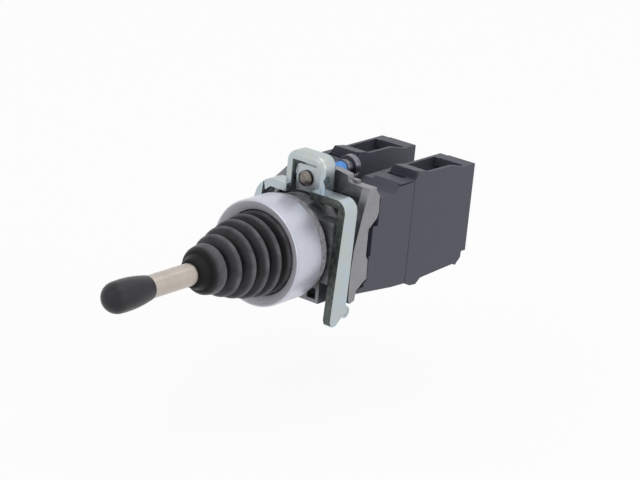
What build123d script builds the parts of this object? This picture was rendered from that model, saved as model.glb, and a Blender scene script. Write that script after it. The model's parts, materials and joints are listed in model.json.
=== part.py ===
"""Panel joystick for a 22 mm hole: sprung two-axis lever, fixing collar and two contact blocks.

Millimetres. X is to the right seen from the front, Y runs back through the panel, Z is up.
The origin is the lever's pivot, on the lever's axis in the plane where the panel lies.
"""
from build123d import *
from math import atan2, degrees, radians, sin
import os

os.makedirs("parts", exist_ok=True)

# Sizes of the head in front of the panel
bezel_overhang = 3.5
bezel_depth = 10.0
bezel_rim_width = 0.6
bezel_dish_depth = 2.7
bezel_lip_overhang = 0.9
bezel_lip_thickness = 0.9
bezel_rear_lip = 1.5
gasket_thickness = 1.8
gasket_inset = 0.5

# Lever and knob
lever_diameter = 6.0
lever_reach = 69.0
knob_diameter = 8.0
knob_neck_diameter = 5.9
knob_length = 17.4
knob_stud_diameter = 4.0
knob_stud_length = 10.4
tilt_limit = 12.0

# Rubber bellows
bellows_wall = 0.7
bellows_bead = 1.2
bellows_crests = 6
bellows_pitch = 4.1
bellows_first_crest = 10.8
bellows_base_room = 0.2
bellows_top_radius = 6.6
bellows_groove = 2.1
bellows_fold_flat = 1.1
bellows_lip_length = 1.2
bellows_lip_wall = 0.55
bellows_dome_length = 5.7
bellows_dome_step = 2.4
bellows_spread = 1.6

# Neck that passes through the panel, with its gimbal
neck_diameter = 22.0
neck_wall = 1.5
neck_flange_overhang = 1.3
lug_height = 0.9
lug_length = 1.7
lug_half_angle = 13.0
lug_turns = (90.0, 210.0, 330.0)
gimbal_inner_radius = 3.6
gimbal_outer_radius = 5.5
gimbal_height = 3.0
trunnion_diameter = 2.0
cross_pin_diameter = 2.0
swash_room = 1.1
swash_thickness = 1.4
swash_stud_diameter = 3.0
swash_nut_width = 5.0
swash_nut_height = 1.6
guide_thickness = 1.1

# Four pushers that carry the lever's tilt back to the contacts
pusher_inset = 1.6
pusher_head_diameter = 3.2
pusher_head_length = 1.7
pusher_stem_diameter = 2.0
pusher_travel = 1.45
pusher_gap = 0.5
pusher_spring_length = 2.3
arm_thickness = 1.05
arm_width = 2.6

# Fixing collar
collar_front = 2.2
collar_frame_depth = 4.5
collar_side_overhang = 3.0
collar_shoulder_height = 9.3
collar_side_drop = 7.8
collar_arc_wall = 1.6
collar_foot_drop = 14.0
collar_foot_half_width = 11.5
collar_boss_wall = 2.0
collar_boss_length = 7.7
cheek_thickness = 2.45
web_thickness = 1.6
web_setback = 1.8
bar_front = 13.9
bar_depth = 3.0
bar_bottom = 13.9
bar_top = 17.2
nose_top = 21.0
nose_depth = 2.6
nose_half_width = 8.7
nose_flat_half_width = 5.2
nose_step_half_width = 11.0
nose_step_rise = 0.7
cheek_front = 8.75
upper_ear_rear = 18.9
lower_ear_rear = 16.2
lower_ear_bottom = -8.6
slot_rear = 15.0
slot_top = 5.8
slot_bottom = -1.8
saddle_width = 9.0
saddle_bite = 0.1
foot_bar_height = 2.1
foot_pocket_depth = 3.2
foot_pocket_width = 2.9
foot_pocket_height = 3.0
foot_wall = 1.0
pin_lug_depth = 3.3

# Clamp yoke and its screw
yoke_thickness = 2.4
yoke_head_half_width = 6.5
yoke_head_top = 24.2
yoke_head_front = 6.0
yoke_head_depth = 6.0
yoke_head_corner = 3.3
yoke_head_fold = 1.4
yoke_window_half_width = 4.1
yoke_window_top = 21.9
yoke_wall = 1.9
yoke_shoulder_top = 15.2
yoke_shoulder_thickness = 2.2
yoke_shoulder_front = 4.2
yoke_shoulder_depth = 5.0
yoke_pivot_depth = 8.2
yoke_pivot_drop = 16.2
yoke_pin_diameter = 1.8
tab_front = 7.3
tab_thickness = 1.6
tab_height = 7.2
tab_overreach = 3.4
tab_corner = 1.1
tab_hole_diameter = 3.8
side_hole_diameter = 2.5
side_hole_rise = 0.8
leg_foot_front = 0.4
leg_foot_drop = 19.3
yoke_ear_radius = 1.7
yoke_corner_radius = 3.5
screw_height = 17.2
screw_diameter = 4.0
screw_tip = 5.9
screw_tip_diameter = 4.4
screw_head_front = 26.2
screw_head_length = 4.6
screw_head_diameter = 5.6
screw_flange_diameter = 4.9
screw_neck_diameter = 3.2
screw_collar_length = 2.2
screw_ring_gap = 0.5
screw_slot_width = 0.9
screw_slot_depth = 1.4
screw_head_edge = 0.7

# Contact blocks
block_width = 12.1
block_gap = 8.72
block_front = 14.3
block_seam = 34.2
block_rear = 62.6
block_wall = 1.0
block_top = 15.5
block_bottom = -14.0
block_crown = 16.9
crown_run = 17.0
ramp_front = 25.2
ramp_length = 2.9
block_deck = 16.1
latch_lip_top = 18.3
latch_lip_setback = 0.6
latch_lip_length = 3.9
latch_slot_reach = 1.8
latch_slot_width = 5.8
side_step_width = 2.95
side_step_top = 15.35
spigot_length = 2.2
middle_wall = 2.4
partition = 0.7
chamber_front = 20.2
chamber_height = 12.8
slot_opening = 2.0
wire_room = 1.2
terminal_head_length = 2.0
terminal_screw_length = 6.2
terminal_slot_width = 0.7
pole_height = 5.0
terminal_spread = 2.7
terminal_height = 8.0
entry_front = 40.6
entry_rear = 58.2
terminal_top = 11.0

# Contact parts inside a block
plunger_diameter = 2.6
cage_width = 2.6
cage_height = 4.4
cage_lead = 2.0
cage_length = 7.0
cage_rear_bar = 1.2
bridge_length = 7.4
bridge_width = 2.0
bridge_thickness = 0.6
bridge_front = 22.0
strip_thickness = 0.8
strip_width = 2.0
contact_spring_wire = 0.5
terminal_screw_diameter = 3.0
terminal_head_diameter = 4.3
terminal_plate = 50.0

# Clearances
running_gap = 0.05
seat_gap = 0.1
loose_gap = 0.2

# Places that follow from the sizes above
neck_radius = neck_diameter / 2
neck_bore = neck_radius - neck_wall
neck_flange_radius = neck_radius + neck_flange_overhang
bezel_radius = neck_radius + bezel_overhang
bezel_lip_radius = neck_radius + bezel_lip_overhang
gasket_radius = bezel_radius - gasket_inset
bellows_base_radius = bezel_lip_radius - bellows_base_room
bezel_rear = -gasket_thickness
bezel_front = bezel_rear - bezel_depth
lip_front = bezel_front + bezel_dish_depth
lip_rear = lip_front + bezel_lip_thickness
flange_front = lip_rear + bellows_bead
flange_rear = bezel_rear - bezel_rear_lip
lever_radius = lever_diameter / 2
knob_rear = knob_length - lever_reach
swash_radius = neck_bore - swash_room
pusher_circle = swash_radius - pusher_inset
swash_front = gimbal_height / 2 + gimbal_outer_radius * sin(radians(tilt_limit)) + loose_gap
swash_rear = swash_front + swash_thickness
pusher_tip = swash_rear + pusher_gap
pusher_seat = pusher_tip + pusher_head_length
guide_front = pusher_seat + pusher_spring_length
guide_rear = guide_front + guide_thickness
neck_length = guide_rear
arm_front = guide_rear + pusher_travel + loose_gap
arm_rear = arm_front + arm_thickness
block_middle = (block_gap + block_width) / 2
collar_half_width = neck_radius + collar_side_overhang
collar_arc_radius = neck_radius + collar_arc_wall
collar_boss_radius = neck_radius + collar_boss_wall
cheek_outer = collar_half_width + cheek_thickness
yoke_width = 2 * (collar_half_width + seat_gap + yoke_thickness)
collar_frame_rear = collar_front + collar_frame_depth
bar_rear = bar_front + bar_depth
side_recess = block_middle + block_width / 2 - collar_half_width + seat_gap
strip_front = bridge_front + bridge_thickness + pusher_travel + loose_gap


def at_depth(depth):
    """Plane square to the lever's axis; its own Y is up and it faces the front."""
    return Plane.XZ.offset(-depth)


def finish_piece(piece, name):
    """Label a finished piece and write it."""
    piece.part.label = name
    export_step(piece.part, f"parts/{name}.step")


def crest(index):
    """Outline point of one bellows crest, counted from the base."""
    share = (index / (bellows_crests - 1)) ** bellows_spread
    radius = bellows_base_radius - (bellows_base_radius - bellows_top_radius) * share
    return radius, -(bellows_first_crest + index * bellows_pitch)


def valley(index):
    """Outline point of the groove in front of one crest."""
    near = crest(index)
    far = crest(index + 1)
    return (near[0] + far[0]) / 2 - bellows_groove, (near[1] + far[1]) / 2


def fold_flat(point):
    """Two outline points that give one fold of the bellows its short flat."""
    return [(point[0], point[1] + bellows_fold_flat / 2), (point[0], point[1] - bellows_fold_flat / 2)]


def sector_face(inner, outer, half_angle, middle):
    """Flat arc-shaped pad between two radii, its middle turned from straight right."""
    start = middle - half_angle
    with BuildSketch() as pad:
        with BuildLine():
            outer_arc = CenterArc((0, 0), outer, start, 2 * half_angle)
            inner_arc = CenterArc((0, 0), inner, start, 2 * half_angle)
            Line(outer_arc @ 0, inner_arc @ 0)
            Line(outer_arc @ 1, inner_arc @ 1)
        make_face()
    return pad.sketch


# Chromed bezel ring
with BuildPart() as bezel_ring:
    with BuildSketch(Plane.XY):
        with BuildLine():
            Polyline(
                (neck_radius + seat_gap, bezel_rear),
                (bezel_radius, bezel_rear),
                (bezel_radius, bezel_front),
                (bezel_radius - bezel_rim_width, bezel_front),
                (bezel_lip_radius, lip_front),
                (bezel_lip_radius, lip_rear),
                (neck_flange_radius + seat_gap, lip_rear),
                (neck_flange_radius + seat_gap, flange_rear),
                (neck_radius + seat_gap, flange_rear),
                close=True,
            )
        make_face()
    revolve(axis=Axis.Y)
    rim = bezel_ring.edges().filter_by(GeomType.CIRCLE).group_by(Axis.Y)[0]
    chamfer(rim, bezel_rim_width * 0.3)
finish_piece(bezel_ring, "bezel_ring")

# Sealing ring between the bezel and the panel
with BuildPart() as panel_gasket:
    with BuildSketch(at_depth(0)):
        Circle(gasket_radius)
        Circle(neck_radius + seat_gap, mode=Mode.SUBTRACT)
    extrude(amount=gasket_thickness)
finish_piece(panel_gasket, "panel_gasket")

# Neck housing with its flange, trunnion bearings and bayonet lugs
with BuildPart() as neck_housing:
    with BuildSketch(Plane.XY):
        with BuildLine():
            Polyline(
                (neck_bore, flange_front),
                (neck_flange_radius, flange_front),
                (neck_flange_radius, flange_rear),
                (neck_radius, flange_rear),
                (neck_radius, neck_length),
                (neck_bore, neck_length),
                close=True,
            )
        make_face()
    revolve(axis=Axis.Y)
    with BuildSketch(at_depth(neck_length)):
        for turn in lug_turns:
            add(sector_face(neck_bore + neck_wall / 2, neck_radius + lug_height, lug_half_angle, turn))
    extrude(amount=lug_length)
    with BuildSketch(Plane.XY):
        Circle(trunnion_diameter / 2 + running_gap)
    extrude(amount=neck_flange_radius + lug_height, both=True, mode=Mode.SUBTRACT)
finish_piece(neck_housing, "neck_housing")

# Rubber bellows from the bezel to the lever
with BuildPart() as bellows:
    with BuildSketch(Plane.XY):
        with BuildLine():
            folds = [(bellows_base_radius - bellows_wall / 2, (lip_rear + flange_front) / 2)]
            for index in range(bellows_crests - 1):
                folds.extend(fold_flat(crest(index)))
                folds.append(valley(index))
            shoulder = crest(bellows_crests - 1)
            folds.extend(fold_flat(shoulder))
            grip = lever_radius + bellows_lip_wall
            dome_front = shoulder[1] - bellows_dome_length
            folds.append((grip + bellows_dome_step, (shoulder[1] + dome_front) / 2))
            folds.append((grip, dome_front))
            folds.append((grip, dome_front - bellows_lip_length))
            Polyline(*folds)
            offset(amount=bellows_wall, kind=Kind.INTERSECTION, side=Side.RIGHT)
        make_face()
    revolve(axis=Axis.Y)
    with BuildSketch(at_depth(flange_front)):
        Circle(neck_flange_radius)
        Circle(neck_bore + seat_gap, mode=Mode.SUBTRACT)
    extrude(amount=bellows_bead)
    with BuildSketch(at_depth(0)):
        Circle(lever_radius + running_gap)
    extrude(amount=lever_reach, mode=Mode.SUBTRACT)
finish_piece(bellows, "bellows")

# Guide plate that closes the neck and holds the four pushers square
pusher_places = {
    "up": (0.0, pusher_circle),
    "down": (0.0, -pusher_circle),
    "left": (-pusher_circle, 0.0),
    "right": (pusher_circle, 0.0),
}
plunger_places = {
    "up": (-block_middle, pole_height),
    "down": (block_middle, -pole_height),
    "left": (-block_middle, -pole_height),
    "right": (block_middle, pole_height),
}
with BuildPart() as guide_plate:
    with BuildSketch(at_depth(guide_rear)):
        Circle(neck_bore - running_gap)
        Circle(neck_bore / 4, mode=Mode.SUBTRACT)
        with Locations(*pusher_places.values()):
            Circle(pusher_stem_diameter / 2 + running_gap, mode=Mode.SUBTRACT)
    extrude(amount=guide_thickness)
finish_piece(guide_plate, "guide_plate")

# Gimbal ring, and the two upright trunnion pins that carry it in the neck
with BuildPart() as gimbal_ring:
    with BuildSketch(at_depth(gimbal_height / 2)):
        Circle(gimbal_outer_radius)
        Circle(gimbal_inner_radius, mode=Mode.SUBTRACT)
    extrude(amount=gimbal_height)
    with BuildSketch(Plane.XY):
        Circle(trunnion_diameter / 2)
    extrude(amount=neck_radius, both=True, mode=Mode.SUBTRACT)
    with BuildSketch(Plane.YZ):
        Circle(cross_pin_diameter / 2 + running_gap)
    extrude(amount=neck_radius, both=True, mode=Mode.SUBTRACT)
finish_piece(gimbal_ring, "gimbal_ring")

with BuildPart() as trunnion_pins:
    with BuildSketch(Plane.XY.offset(gimbal_inner_radius + seat_gap)):
        Circle(trunnion_diameter / 2)
    trunnion = extrude(amount=neck_radius - gimbal_inner_radius - 2 * seat_gap)
    mirror(trunnion, about=Plane.XY)
finish_piece(trunnion_pins, "trunnion_pins")

# Cross pin that joins the lever to the gimbal ring
with BuildPart() as cross_pin:
    with BuildSketch(Plane.YZ):
        Circle(cross_pin_diameter / 2)
    extrude(amount=gimbal_outer_radius, both=True)
finish_piece(cross_pin, "cross_pin")

# Steel lever: knob stud, shank, cross hole and swash stud
stud_tip = swash_rear + swash_nut_height + loose_gap
with BuildPart() as lever_rod:
    with BuildSketch(Plane.XY):
        with BuildLine():
            Polyline(
                (0, knob_rear - knob_stud_length),
                (knob_stud_diameter / 2, knob_rear - knob_stud_length),
                (knob_stud_diameter / 2, knob_rear),
                (lever_radius, knob_rear),
                (lever_radius, swash_front),
                (swash_stud_diameter / 2, swash_front),
                (swash_stud_diameter / 2, stud_tip),
                (0, stud_tip),
                close=True,
            )
        make_face()
    revolve(axis=Axis.Y)
    with BuildSketch(Plane.YZ):
        Circle(cross_pin_diameter / 2)
    extrude(amount=lever_diameter, both=True, mode=Mode.SUBTRACT)
finish_piece(lever_rod, "lever_rod")

# Plastic knob: waisted neck running into a ball end
ball_centre = knob_diameter / 2 - lever_reach
swell = (knob_diameter - knob_neck_diameter) / 2
with BuildPart() as knob:
    with BuildSketch(Plane.XY):
        with BuildLine():
            neck_edge = (knob_neck_diameter / 2, knob_rear)
            ball_edge = (knob_diameter / 2, ball_centre + knob_length * 0.2)
            ball_side = (knob_diameter / 2, ball_centre)
            tip = (0, -lever_reach)
            waist = (knob_neck_diameter / 2 + swell * 0.4, knob_rear - knob_length * 0.22)
            shoulder = (knob_neck_diameter / 2 + swell * 0.84, knob_rear - knob_length * 0.42)
            Polyline(neck_edge, waist, shoulder, ball_edge, ball_side)
            RadiusArc(ball_side, tip, knob_diameter / 2)
            Line(tip, (0, knob_rear))
            Line((0, knob_rear), neck_edge)
        make_face()
    revolve(axis=Axis.Y)
    with BuildSketch(at_depth(knob_rear)):
        Circle(knob_stud_diameter / 2)
    extrude(amount=knob_stud_length + loose_gap, mode=Mode.SUBTRACT)
finish_piece(knob, "knob")

# Swash plate on the lever's rear end, and the nut that holds it
with BuildPart() as swash_plate:
    with BuildSketch(at_depth(swash_rear)):
        Circle(swash_radius)
        Circle(swash_stud_diameter / 2, mode=Mode.SUBTRACT)
    extrude(amount=swash_thickness)
    chamfer(swash_plate.edges().filter_by(GeomType.CIRCLE).sort_by(SortBy.RADIUS)[-2:], 0.3)
finish_piece(swash_plate, "swash_plate")

with BuildPart() as swash_nut:
    with BuildSketch(at_depth(swash_rear + swash_nut_height)):
        RegularPolygon(swash_nut_width / 2, 6, major_radius=False)
        Circle(swash_stud_diameter / 2, mode=Mode.SUBTRACT)
    extrude(amount=swash_nut_height)
finish_piece(swash_nut, "swash_nut")

# Pushers, each with its cranked arm, return spring, contact plunger, bridge and spring
cage_front = bridge_front - cage_lead
cage_rear = cage_front + cage_length
window_rear = cage_rear - cage_rear_bar
contact_spring_length = block_seam - spigot_length - cage_rear
for side in pusher_places:
    head = pusher_places[side]
    target = plunger_places[side]
    span = Vector(target[0] - head[0], target[1] - head[1])
    middle = ((head[0] + target[0]) / 2, (head[1] + target[1]) / 2)
    slant = degrees(atan2(span.Y, span.X))

    with BuildPart() as pusher:
        with BuildSketch(at_depth(pusher_seat)):
            with Locations(head):
                Circle(pusher_head_diameter / 2)
        extrude(amount=pusher_head_length)
        crown = pusher.edges().filter_by(GeomType.CIRCLE).group_by(Axis.Y)[0]
        chamfer(crown, pusher_head_diameter * 0.3)
        with BuildSketch(at_depth(arm_front)):
            with Locations(head):
                Circle(pusher_stem_diameter / 2)
        extrude(amount=arm_front - pusher_seat)
        with BuildSketch(at_depth(arm_rear)):
            with Locations(middle):
                SlotCenterToCenter(span.length, arm_width, rotation=slant)
        extrude(amount=arm_thickness)
    finish_piece(pusher, f"{side}_pusher")

    with BuildPart() as return_spring:
        with BuildSketch(at_depth(guide_front)):
            with Locations(head):
                Circle(pusher_head_diameter / 2)
                Circle(pusher_stem_diameter / 2 + seat_gap, mode=Mode.SUBTRACT)
        extrude(amount=pusher_spring_length)
    finish_piece(return_spring, f"{side}_return_spring")

    with BuildPart() as plunger:
        with BuildSketch(at_depth(cage_front)):
            with Locations(target):
                Circle(plunger_diameter / 2)
        extrude(amount=cage_front - arm_rear)
        with BuildSketch(at_depth(cage_rear)):
            with Locations(target):
                Rectangle(cage_width, cage_height)
        extrude(amount=cage_rear - cage_front)
        with BuildSketch(at_depth(window_rear)):
            with Locations(target):
                Rectangle(cage_width * 2, bridge_width + loose_gap)
        extrude(amount=window_rear - bridge_front, mode=Mode.SUBTRACT)
    finish_piece(plunger, f"{side}_contact_plunger")

    with BuildPart() as bridge:
        with BuildSketch(at_depth(bridge_front + bridge_thickness)):
            with Locations(target):
                Rectangle(bridge_length, bridge_width)
        extrude(amount=bridge_thickness)
    finish_piece(bridge, f"{side}_contact_bridge")

    with BuildPart() as contact_spring:
        with BuildSketch(at_depth(cage_rear + contact_spring_length)):
            with Locations(target):
                Circle(plunger_diameter / 2)
                Circle(plunger_diameter / 2 - contact_spring_wire, mode=Mode.SUBTRACT)
        extrude(amount=contact_spring_length)
    finish_piece(contact_spring, f"{side}_contact_spring")

# Fixing collar: front frame, neck boss, side webs, cheeks, cross bar, nose, saddle and foot
boss_rear = collar_front + collar_boss_length
web_rear = bar_front - web_setback
nose_rear = bar_front + nose_depth
web_middle = collar_half_width - web_thickness / 2
pocket_middle = collar_foot_half_width - foot_wall - foot_pocket_width / 2
with BuildPart() as collar_body:
    with BuildSketch(at_depth(collar_frame_rear)):
        Circle(collar_arc_radius)
        with Locations((0, (collar_shoulder_height - collar_side_drop) / 2)):
            Rectangle(2 * collar_half_width, collar_shoulder_height + collar_side_drop)
        with Locations((0, -(collar_side_drop + collar_foot_drop) / 2)):
            Rectangle(2 * collar_foot_half_width, collar_foot_drop - collar_side_drop)
    extrude(amount=collar_frame_depth)
    with BuildSketch(at_depth(collar_front + foot_pocket_depth)):
        for place in (-pocket_middle, pocket_middle):
            with Locations((place, foot_wall + foot_pocket_height / 2 - collar_foot_drop)):
                Rectangle(foot_pocket_width, foot_pocket_height)
    extrude(amount=foot_pocket_depth, mode=Mode.SUBTRACT)
    with BuildSketch(at_depth(boss_rear)):
        Circle(collar_boss_radius)
    extrude(amount=collar_boss_length - collar_frame_depth)
    with BuildSketch(at_depth(web_rear)):
        for place in (-web_middle, web_middle):
            with Locations((place, (collar_shoulder_height - collar_foot_drop) / 2)):
                Rectangle(web_thickness, collar_shoulder_height + collar_foot_drop)
        with Locations((0, foot_bar_height / 2 - collar_foot_drop)):
            Rectangle(2 * collar_half_width, foot_bar_height)
    extrude(amount=web_rear - collar_frame_rear)
    with BuildSketch(Plane.YZ.offset(collar_half_width)) as cheek_outline:
        with BuildLine():
            Polyline(
                (bar_front, bar_top),
                (web_rear, bar_top - 5.7),
                (cheek_front + 0.6, 0.7),
                (cheek_front, -6.0),
                (cheek_front + 0.2, 1.1 - collar_foot_drop),
                (cheek_front + 0.9, -collar_foot_drop - 0.3),
                (web_rear - 0.4, 0.2 - collar_foot_drop),
                (web_rear, 2.9 - collar_foot_drop),
                (lower_ear_rear - 1.3, lower_ear_bottom - 0.5),
                (lower_ear_rear, lower_ear_bottom),
                (lower_ear_rear - 0.2, slot_bottom - 1.3),
                (slot_rear, slot_bottom),
                (slot_rear, slot_top),
                (upper_ear_rear - 0.6, slot_top + 2.5),
                (upper_ear_rear, slot_top + 4.1),
                (upper_ear_rear - 0.3, bar_top - 2.7),
                (upper_ear_rear - 2.6, bar_top),
                close=True,
            )
        make_face()
        fillet(cheek_outline.vertices(), 0.3)
    cheek = extrude(amount=cheek_thickness)
    mirror(cheek, about=Plane.YZ)
    with BuildSketch(at_depth(bar_rear)):
        with Locations((0, (bar_bottom + bar_top) / 2)):
            Rectangle(2 * cheek_outer, bar_top - bar_bottom)
    extrude(amount=bar_depth)
    with BuildSketch(at_depth(nose_rear)):
        with BuildLine():
            nose_side = Polyline(
                (0, nose_top),
                (nose_flat_half_width, nose_top),
                (nose_half_width, bar_top + 1.9),
                (nose_half_width + 0.2, bar_top + 0.6),
                (nose_half_width + 1.6, bar_top),
                (nose_half_width + 1.6, bar_bottom),
                (0, bar_bottom),
            )
            mirror(nose_side, about=Plane.YZ)
        make_face()
    extrude(amount=nose_depth)
    with BuildSketch(at_depth(bar_rear)):
        with Locations((0, bar_top)):
            Rectangle(2 * nose_step_half_width, 2 * nose_step_rise)
    extrude(amount=bar_depth / 2)
    with BuildSketch(at_depth(bar_front + bar_depth / 2)):
        with Locations((0, (collar_arc_radius + bar_bottom + saddle_bite) / 2)):
            Rectangle(saddle_width, bar_bottom + saddle_bite - collar_arc_radius)
    extrude(amount=bar_front + bar_depth / 2 - boss_rear + 1)
    with BuildSketch(at_depth(collar_frame_rear + pin_lug_depth)):
        for place in (-web_middle, web_middle):
            with Locations((place, -(yoke_pivot_drop + collar_foot_drop) / 2)):
                Rectangle(web_thickness, yoke_pivot_drop - collar_foot_drop + yoke_pin_diameter + 1)
    extrude(amount=pin_lug_depth)
    with BuildSketch(at_depth(boss_rear)):
        Circle(neck_radius + lug_height + loose_gap)
    extrude(amount=boss_rear - neck_length + lug_length + seat_gap, mode=Mode.SUBTRACT)
    with BuildSketch(at_depth(boss_rear)):
        Circle(neck_radius + seat_gap)
        for turn in lug_turns:
            add(sector_face(neck_bore, neck_radius + lug_height + seat_gap, lug_half_angle + 2, turn + 60))
    extrude(amount=collar_boss_length, mode=Mode.SUBTRACT)
    with BuildSketch(Plane.YZ):
        with Locations((yoke_pivot_depth, -yoke_pivot_drop)):
            Circle(yoke_pin_diameter / 2)
    extrude(amount=yoke_width, both=True, mode=Mode.SUBTRACT)
    bore_rear = max(nose_rear, bar_rear)
    with BuildSketch(at_depth(bore_rear)):
        with Locations((0, screw_height)):
            Circle(screw_diameter / 2 + running_gap)
    extrude(amount=bore_rear - bar_front, mode=Mode.SUBTRACT)
finish_piece(collar_body, "collar_body")

# Two short pins that carry the yoke
with BuildPart() as yoke_pivot_pins:
    with BuildSketch(Plane.YZ.offset(collar_half_width - web_thickness)):
        with Locations((yoke_pivot_depth, -yoke_pivot_drop)):
            Circle(yoke_pin_diameter / 2)
    pin = extrude(amount=yoke_width / 2 - collar_half_width + web_thickness)
    mirror(pin, about=Plane.YZ)
finish_piece(yoke_pivot_pins, "yoke_pivot_pins")

# Zinc-plated clamp yoke: two legs, two shoulders, a folded head with its window, and the screw tab
leg_inner = yoke_width / 2 - yoke_thickness
shoulder_rear = yoke_shoulder_front + yoke_shoulder_depth
head_rear = yoke_head_front + yoke_head_depth
shoulder_bottom = yoke_shoulder_top - yoke_shoulder_thickness
tab_root = yoke_head_half_width - yoke_wall
with BuildPart() as clamp_yoke:
    with BuildSketch(Plane.YZ.offset(leg_inner)) as leg_outline:
        with BuildLine():
            Polyline(
                (yoke_shoulder_front, yoke_shoulder_top),
                (leg_foot_front, -yoke_pivot_drop - 1.4),
                (leg_foot_front + 1.2, -leg_foot_drop),
                (leg_foot_front + 4.0, -leg_foot_drop),
                (yoke_pivot_depth - 0.9, -yoke_pivot_drop - 0.7),
                (yoke_pivot_depth, 2.3 - yoke_pivot_drop),
                (shoulder_rear, yoke_shoulder_top),
                close=True,
            )
        make_face()
        fillet(leg_outline.vertices().group_by(Axis.Z)[0], 1.1)
        with Locations((yoke_pivot_depth, -yoke_pivot_drop)):
            Circle(yoke_ear_radius)
    leg = extrude(amount=yoke_thickness)
    mirror(leg, about=Plane.YZ)
    with BuildSketch(at_depth(shoulder_rear)):
        with Locations((0, (yoke_shoulder_top + shoulder_bottom) / 2)):
            Rectangle(yoke_width, yoke_shoulder_thickness)
    extrude(amount=yoke_shoulder_depth)
    corners = clamp_yoke.edges().filter_by(Axis.Y).group_by(Axis.Z)[-1]
    fillet(corners, yoke_corner_radius)
    with BuildSketch(at_depth(head_rear)) as head_outline:
        with Locations((0, (yoke_head_top + shoulder_bottom) / 2)):
            Rectangle(2 * yoke_head_half_width, yoke_head_top - shoulder_bottom)
        fillet(head_outline.vertices().group_by(Axis.Y)[-1], yoke_head_corner)
    extrude(amount=yoke_head_depth)
    top_folds = clamp_yoke.edges().filter_by(Axis.X).group_by(Axis.Z)[-1]
    fillet(top_folds, yoke_head_fold)
    with BuildSketch(at_depth(head_rear + yoke_wall)) as head_hollow:
        with Locations((0, (yoke_head_top - yoke_wall + shoulder_bottom) / 2)):
            Rectangle(
                2 * (yoke_head_half_width - yoke_wall),
                yoke_head_top - yoke_wall - shoulder_bottom,
            )
        fillet(head_hollow.vertices().group_by(Axis.Y)[-1], yoke_head_corner - yoke_wall)
    extrude(amount=yoke_head_depth, mode=Mode.SUBTRACT)
    with BuildSketch(at_depth(head_rear)):
        with Locations((0, (yoke_window_top + shoulder_bottom) / 2)):
            Rectangle(2 * yoke_window_half_width, yoke_window_top - shoulder_bottom)
    extrude(amount=head_rear, mode=Mode.SUBTRACT)
    with BuildSketch(at_depth(tab_front + tab_thickness)) as tab_outline:
        with Locations(((tab_root - tab_overreach) / 2, screw_height)):
            Rectangle(tab_root + tab_overreach, tab_height)
        fillet(tab_outline.vertices().group_by(Axis.X)[0], tab_corner)
        with Locations((0, screw_height)):
            Circle(tab_hole_diameter / 2, mode=Mode.SUBTRACT)
    extrude(amount=tab_thickness)
    for start in (-yoke_head_half_width, yoke_head_half_width - yoke_wall):
        with BuildSketch(Plane.YZ.offset(start)):
            with Locations((yoke_head_front + yoke_wall, screw_height + side_hole_rise)):
                Circle(side_hole_diameter / 2)
        extrude(amount=yoke_wall, mode=Mode.SUBTRACT)
    with BuildSketch(Plane.YZ):
        with Locations((yoke_pivot_depth, -yoke_pivot_drop)):
            Circle(yoke_pin_diameter / 2 + running_gap)
    extrude(amount=yoke_width, both=True, mode=Mode.SUBTRACT)
finish_piece(clamp_yoke, "clamp_yoke")

# Clamp screw: swaged tip, neck in the tab, thread, collar and crossed head
screw_axis = Axis((0, 0, screw_height), (0, 1, 0))
tip_rear = tab_front - loose_gap - seat_gap
thread_front = tab_front + tab_thickness + loose_gap + seat_gap
screw_rear = screw_head_front + screw_head_length
with BuildPart() as clamp_screw:
    with BuildSketch(Plane.XY.offset(screw_height)):
        with BuildLine():
            rim_height = (tip_rear - screw_tip) / 3
            Polyline(
                (0, screw_tip),
                (screw_tip_diameter / 4, screw_tip),
                (screw_tip_diameter / 2, tip_rear - rim_height),
                (screw_tip_diameter / 2, tip_rear),
                (screw_neck_diameter / 2, tip_rear),
                (screw_neck_diameter / 2, thread_front),
                (screw_diameter / 2, thread_front),
                (screw_diameter / 2, screw_head_front - screw_collar_length),
                (screw_flange_diameter / 2, screw_head_front - screw_collar_length),
                (screw_flange_diameter / 2, screw_head_front - screw_ring_gap),
                (screw_diameter / 2, screw_head_front - screw_ring_gap),
                (screw_diameter / 2, screw_head_front),
                (screw_head_diameter / 2, screw_head_front),
                (screw_head_diameter / 2, screw_rear),
                (0, screw_rear),
                (0, screw_tip),
            )
        make_face()
    revolve(axis=screw_axis)
    rear_rim = clamp_screw.edges().filter_by(GeomType.CIRCLE).group_by(Axis.Y)[-1]
    chamfer(rear_rim, screw_head_edge)
    with BuildSketch(at_depth(screw_rear)):
        with Locations((0, screw_height)):
            Rectangle(screw_slot_width, screw_head_diameter * 0.7)
            Rectangle(screw_head_diameter * 0.7, screw_slot_width)
    extrude(amount=screw_slot_depth, mode=Mode.SUBTRACT)
finish_piece(clamp_screw, "clamp_screw")

# Contact blocks: a front case that sits in the collar and a rear case with the latch lip and terminals
block_half = block_width / 2
chamber_half = block_half - block_wall
core_half = block_half - side_recess
strip_level = terminal_height + terminal_screw_diameter / 2 + 0.3
plate_rear = terminal_plate + strip_thickness
clamp_front = plate_rear + wire_room
clamp_rear = clamp_front + strip_thickness
spigot_front = block_seam - spigot_length

with BuildSketch() as recess_profile:
    with BuildLine():
        Polyline(
            (block_front - 1, bar_bottom - loose_gap),
            (block_front - 1, bar_top + loose_gap),
            (upper_ear_rear + loose_gap, bar_top + loose_gap),
            (upper_ear_rear + loose_gap, slot_top + loose_gap),
            (slot_rear + slot_opening, slot_top + loose_gap),
            (slot_rear + slot_opening, slot_bottom - 2 * loose_gap),
            (lower_ear_rear + loose_gap, slot_bottom - 2 * loose_gap),
            (lower_ear_rear + loose_gap, lower_ear_bottom - 2 * loose_gap),
            (block_front + 0.9, lower_ear_bottom - 1.2),
            (block_front + 0.9, 3.3 - collar_foot_drop),
            (block_front - 1, 3.3 - collar_foot_drop),
            close=True,
        )
    make_face()

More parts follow.
